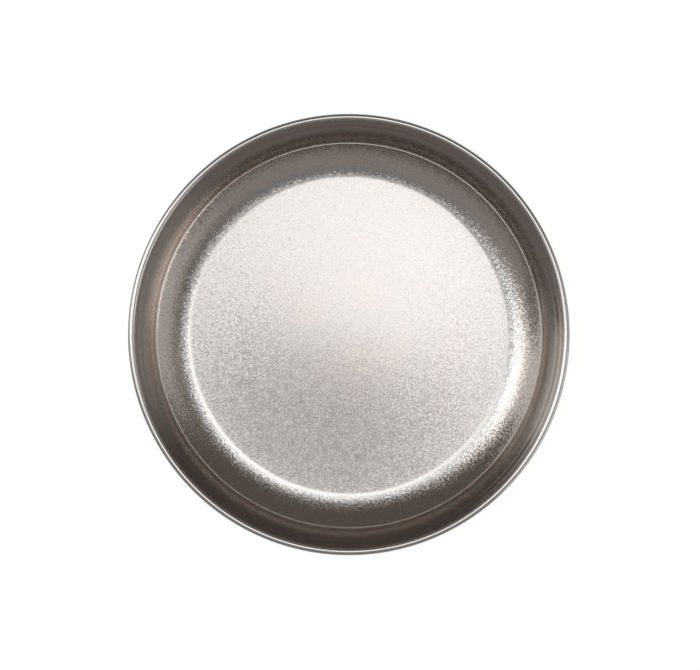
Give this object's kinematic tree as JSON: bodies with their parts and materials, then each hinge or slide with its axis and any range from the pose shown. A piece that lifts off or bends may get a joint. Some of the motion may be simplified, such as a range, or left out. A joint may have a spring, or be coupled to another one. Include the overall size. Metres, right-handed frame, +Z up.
{
  "type": "paten plate",
  "caption": "Round metal communion dish: flat floor, curved cove, a crease, steep wall and an edge rolled round a wire.",
  "frame": {"origin": "centre of the underside of the floor, on the surface that the dish rests on", "axes": "+Z up, the axis that the dish is round about; +X and +Y are any two directions across it"},
  "size_m": [0.165, 0.165, 0.0245],
  "materials": {
    "dish": "stonewashed satin",
    "wire": "drawn wire"
  },
  "bodies": {
    "root": {"dish_body": "dish", "rim_wire": "wire"}
  },
  "joints": []
}
